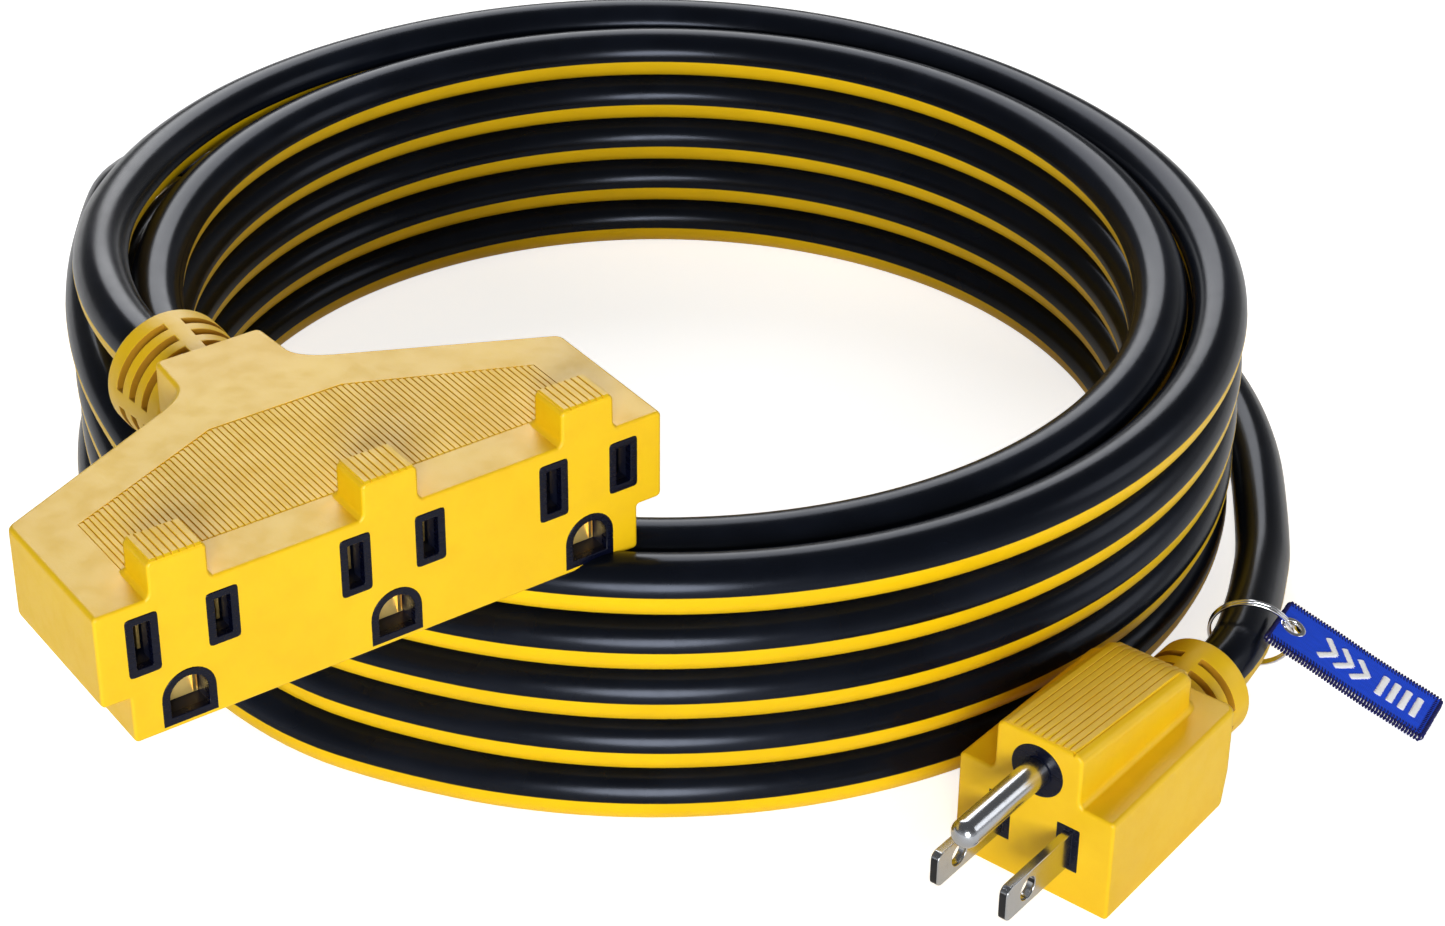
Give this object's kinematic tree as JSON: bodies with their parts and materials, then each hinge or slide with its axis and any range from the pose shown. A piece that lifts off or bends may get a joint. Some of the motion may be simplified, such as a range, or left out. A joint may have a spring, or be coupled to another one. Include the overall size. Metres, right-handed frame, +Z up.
{
  "type": "extension cord",
  "caption": "Coiled two-colour extension cord with a wide outlet tap, a grounded plug and a woven tag on a split ring.",
  "frame": {"origin": "centre of the outlet tap's bounding box, its strain relief included; the cord, the plug and the tag aren't counted", "axes": "+X along the tap's width, +Y from the outlet face back to the cord, +Z up; the outlets face -Y, and the cord's coil lies 14.9 mm and more below the origin on a floor at z -63.9 mm"},
  "size_m": [0.2679, 0.2638, 0.0787],
  "materials": {
    "yellow_casing": "satin moulded vinyl",
    "navy_collar": "satin",
    "contact_brass": "bright",
    "plated_steel": "polished",
    "plated_blade": "polished",
    "cord_jacket": "glossy vinyl with a yellow half",
    "core_white": "satin",
    "core_black": "satin",
    "core_green": "satin",
    "tag_cloth": "woven",
    "tag_thread": "overlocked thread"
  },
  "bodies": {
    "root": {"tap_body": "yellow_casing", "tap_strain_relief": "yellow_casing", "contact_carrier": "navy_collar", "carrier_cover": "navy_collar", "neutral_bus": "contact_brass", "hot_bus": "contact_brass", "ground_bus": "contact_brass", "tap_crimps": "plated_steel", "tap_neutral_wire": "core_white", "tap_hot_wire": "core_black", "tap_ground_wire": "core_green", "tap_jacket_end": "cord_jacket", "cord_coil": "cord_jacket", "cord_tap_lead": "cord_jacket", "cord_plug_lead": "cord_jacket", "plug_body": "yellow_casing", "plug_strain_relief": "yellow_casing", "blade_carrier": "navy_collar", "neutral_blade": "plated_blade", "hot_blade": "plated_blade", "ground_pin": "plated_blade", "plug_crimps": "plated_steel", "plug_neutral_wire": "core_white", "plug_hot_wire": "core_black", "plug_ground_wire": "core_green", "plug_jacket_end": "cord_jacket"},
    "ring": {"split_ring": "plated_steel"},
    "tag": {"tag_eyelet": "plated_steel", "tag_fabric": "tag_cloth", "tag_edge": "tag_thread"}
  },
  "joints": [
    {"name": "ring_turn", "type": "hinge", "parent": "root", "child": "ring", "pos_m": [0.14782, -0.06974, -0.0551], "axis": [-0.8057, -0.5818, 0.111], "range_deg": [0, 40]},
    {"name": "tag_swing", "type": "hinge", "parent": "ring", "child": "tag", "pos_m": [0.15232, -0.0757, -0.05254], "axis": [-0.238, 0.211, 0.9481], "range_deg": [0, 10]}
  ]
}
